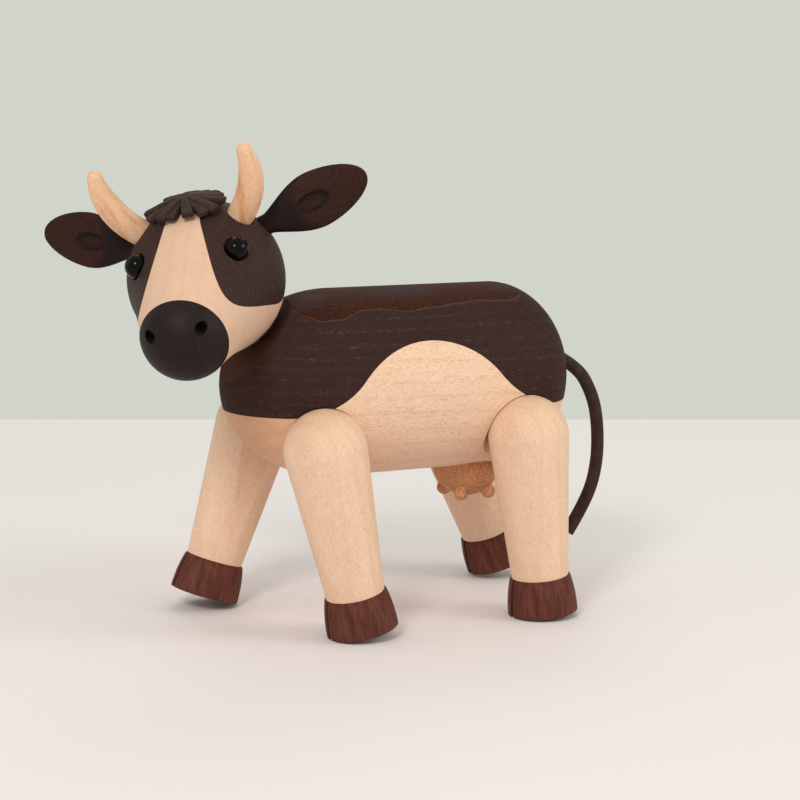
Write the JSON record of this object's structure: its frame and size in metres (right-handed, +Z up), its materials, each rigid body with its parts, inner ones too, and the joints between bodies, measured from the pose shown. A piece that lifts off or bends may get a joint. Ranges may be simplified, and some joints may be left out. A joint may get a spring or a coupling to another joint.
{
  "type": "wooden cow figurine",
  "caption": "Jointed wooden cow figurine with swinging legs, a turning and tilting head, leaf ears, horns and a cord tail; stands on its hooves.",
  "frame": {"origin": "on the surface it stands on, below the middle of the figure without its tail", "axes": "the cow faces -X, its left side is -Y, +Z is up"},
  "size_m": [0.1777, 0.0837, 0.1499],
  "materials": {
    "light_wood": "sanded and oiled pale maple",
    "dark_wood": "oiled smoked oak, open grain",
    "hoof_wood": "oiled reddish brown walnut",
    "horn_wood": "oiled maple, warmer in tone",
    "udder_wood": "oiled oak",
    "dowel_wood": "plain beech dowel",
    "steel": "plain turned steel",
    "brass": "plain turned brass",
    "rubber": "black nitrile rubber",
    "leather": "matt dark brown leather",
    "eye_black": "polished black"
  },
  "bodies": {
    "torso": {"back_block": "dark_wood", "belly_block": "light_wood", "udder": "udder_wood", "teats": "udder_wood", "tail": "leather", "hip_friction_rings": "rubber", "neck_bush": "brass", "neck_spring_washer": "steel"},
    "neck": {"neck_stud": "steel", "neck_nut": "steel"},
    "head": {"head_core": "light_wood", "left_face_patch": "dark_wood", "right_face_patch": "dark_wood", "muzzle": "dark_wood", "muzzle_dowel": "dowel_wood", "left_eye": "eye_black", "right_eye": "eye_black", "left_horn": "horn_wood", "right_horn": "horn_wood", "left_ear": "dark_wood", "right_ear": "dark_wood", "forelock": "leather", "neck_cross_pin": "steel"},
    "front_left_leg": {"front_left_leg": "light_wood", "front_left_hoof": "hoof_wood", "front_left_hip_dowel": "dowel_wood", "front_left_hoof_dowel": "dowel_wood"},
    "front_right_leg": {"front_right_leg": "light_wood", "front_right_hoof": "hoof_wood", "front_right_hip_dowel": "dowel_wood", "front_right_hoof_dowel": "dowel_wood"},
    "rear_left_leg": {"rear_left_leg": "light_wood", "rear_left_hoof": "hoof_wood", "rear_left_hip_dowel": "dowel_wood", "rear_left_hoof_dowel": "dowel_wood"},
    "rear_right_leg": {"rear_right_leg": "light_wood", "rear_right_hoof": "hoof_wood", "rear_right_hip_dowel": "dowel_wood", "rear_right_hoof_dowel": "dowel_wood"}
  },
  "joints": [
    {"name": "neck_turn", "type": "hinge", "parent": "torso", "child": "neck", "pos_m": [-0.0427, 0, 0.1069], "axis": [-0.766, 0, 0.6428], "range_deg": [-109.25, 10.75]},
    {"name": "head_tilt", "type": "hinge", "parent": "neck", "child": "head", "pos_m": [-0.0427, 0, 0.1069], "axis": [0.4196, 0.7576, 0.5], "range_deg": [-65, 5]},
    {"name": "front_left_hip", "type": "hinge", "parent": "torso", "child": "front_left_leg", "pos_m": [-0.0166, -0.0283, 0.05733], "axis": [0, 1, 0], "range_deg": [-9.9, 47.1]},
    {"name": "front_right_hip", "type": "hinge", "parent": "torso", "child": "front_right_leg", "pos_m": [-0.0166, 0.0283, 0.05733], "axis": [0, 1, 0], "range_deg": [-40.5, 16.5]},
    {"name": "rear_left_hip", "type": "hinge", "parent": "torso", "child": "rear_left_leg", "pos_m": [0.0517, -0.0283, 0.05733], "axis": [0, 1, 0], "range_deg": [-29.2, 27.8]},
    {"name": "rear_right_hip", "type": "hinge", "parent": "torso", "child": "rear_right_leg", "pos_m": [0.0517, 0.0283, 0.05733], "axis": [0, 1, 0], "range_deg": [-14, 43]}
  ]
}
